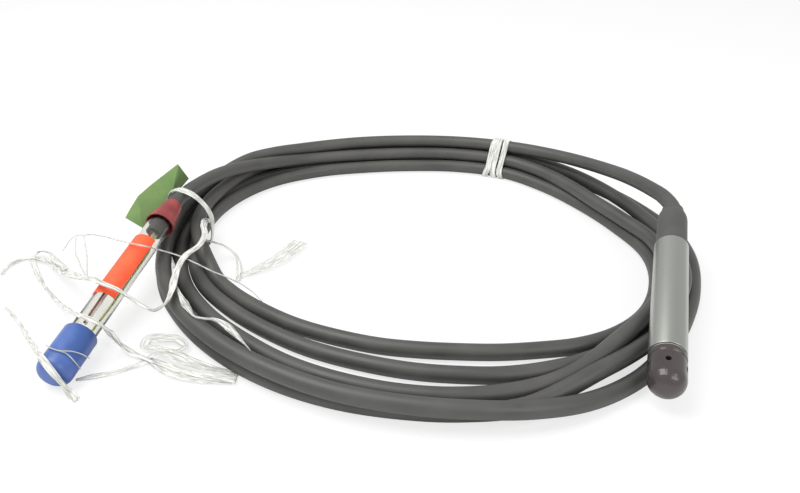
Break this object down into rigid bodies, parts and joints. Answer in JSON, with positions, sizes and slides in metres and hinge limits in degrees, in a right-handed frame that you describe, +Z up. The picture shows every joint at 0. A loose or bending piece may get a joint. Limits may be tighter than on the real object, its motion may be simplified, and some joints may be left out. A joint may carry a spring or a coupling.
{
  "type": "submersible level transmitter",
  "caption": "Slim steel hydrostatic level probe with a perforated black nose cone and cable gland, lying on its own tied coil of vented cable with a capped free end.",
  "frame": {"origin": "on the floor under the middle of the probe, on the flat underside of the wound cable", "axes": "+Y runs along the probe towards its cable, +Z is up and the coil lies towards -X"},
  "size_m": [0.3913, 0.3247, 0.0459],
  "materials": {
    "brushed_steel": "satin brushed stainless steel",
    "bright_steel": "bright turned steel",
    "brass": "turned brass",
    "gold_plate": "gold plated",
    "black_plastic": "glossy moulded",
    "gland_plastic": "matt moulded",
    "cable_jacket": "matt extruded",
    "seal_rubber": "matt",
    "natural_nylon": "natural nylon",
    "board_green": "solder mask",
    "chip_black": "moulded epoxy",
    "capacitor_tan": "ceramic body",
    "arrester_ceramic": "glazed ceramic",
    "wire_red": "insulation",
    "wire_white": "insulation",
    "wire_yellow_green": "insulation",
    "vent_nylon": "translucent nylon",
    "clear_vinyl": "clear soft sleeve",
    "red_tape": "shrunk tape",
    "orange_label": "plain paper",
    "blue_vinyl": "soft dipped vinyl",
    "green_tag_paper": "plain paper",
    "white_twine": "flat polypropylene fibres"
  },
  "bodies": {
    "probe_and_cable": {"amplifier_chip": "chip_black", "cable_coil": "cable_jacket", "cable_entry": "cable_jacket", "cable_grommet": "seal_rubber", "cable_lead": "cable_jacket", "cable_tail": "cable_jacket", "capsule_o_ring": "seal_rubber", "circuit_board": "board_green", "clamp_washer": "bright_steel", "clear_sleeve": "clear_vinyl", "end_vent_tube": "vent_nylon", "end_wire_red": "wire_red", "end_wire_white": "wire_white", "end_wire_yellow": "wire_yellow_green", "far_tie_1": "white_twine", "far_tie_2": "white_twine", "far_tie_3": "white_twine", "filter_capacitor": "capacitor_tan", "front_spacer": "natural_nylon", "gland_cap": "gland_plastic", "gland_core": "brass", "green_tag": "green_tag_paper", "ground_wire_yellow": "wire_yellow_green", "header_pin_1": "gold_plate", "header_pin_2": "gold_plate", "header_pin_3": "gold_plate", "header_pin_4": "gold_plate", "housing_tube": "brushed_steel", "isolating_diaphragm": "brushed_steel", "jacket_end": "cable_jacket", "left_tie": "white_twine", "left_tie_floor_end": "white_twine", "left_tie_long_end": "white_twine", "loop_driver_chip": "chip_black", "orange_label": "orange_label", "rear_o_ring": "seal_rubber", "rear_spacer": "natural_nylon", "red_tape_band": "red_tape", "retaining_ring": "bright_steel", "sensor_capsule": "bright_steel", "sensor_header": "bright_steel", "signal_wire_red": "wire_red", "signal_wire_white": "wire_white", "surge_arrester": "arrester_ceramic", "vent_tube": "vent_nylon", "voltage_regulator": "chip_black"},
    "nose_carrier": {"joint_washer": "bright_steel"},
    "nose": {"nose_cone": "black_plastic", "nose_o_ring": "seal_rubber"},
    "cap": {"blue_cap": "blue_vinyl"}
  },
  "joints": [
    {"name": "nose_travel", "type": "slide", "parent": "probe_and_cable", "child": "nose_carrier", "axis": [0, -0.9854, -0.1702], "range_m": [0, 0.0075]},
    {"name": "nose_unscrew", "type": "hinge", "parent": "nose_carrier", "child": "nose", "pos_m": [0, -0.0446, 0.01765], "axis": [0, -0.9854, -0.1702], "range_deg": [0, 1800]},
    {"name": "cap_pull", "type": "slide", "parent": "probe_and_cable", "child": "cap", "axis": [0.1143, -0.9801, -0.1623], "range_m": [0, 0.019]}
  ],
  "couplings": [
    {"joint": "nose_unscrew", "follows": "nose_travel", "rad_per_m": 4188.8}
  ]
}
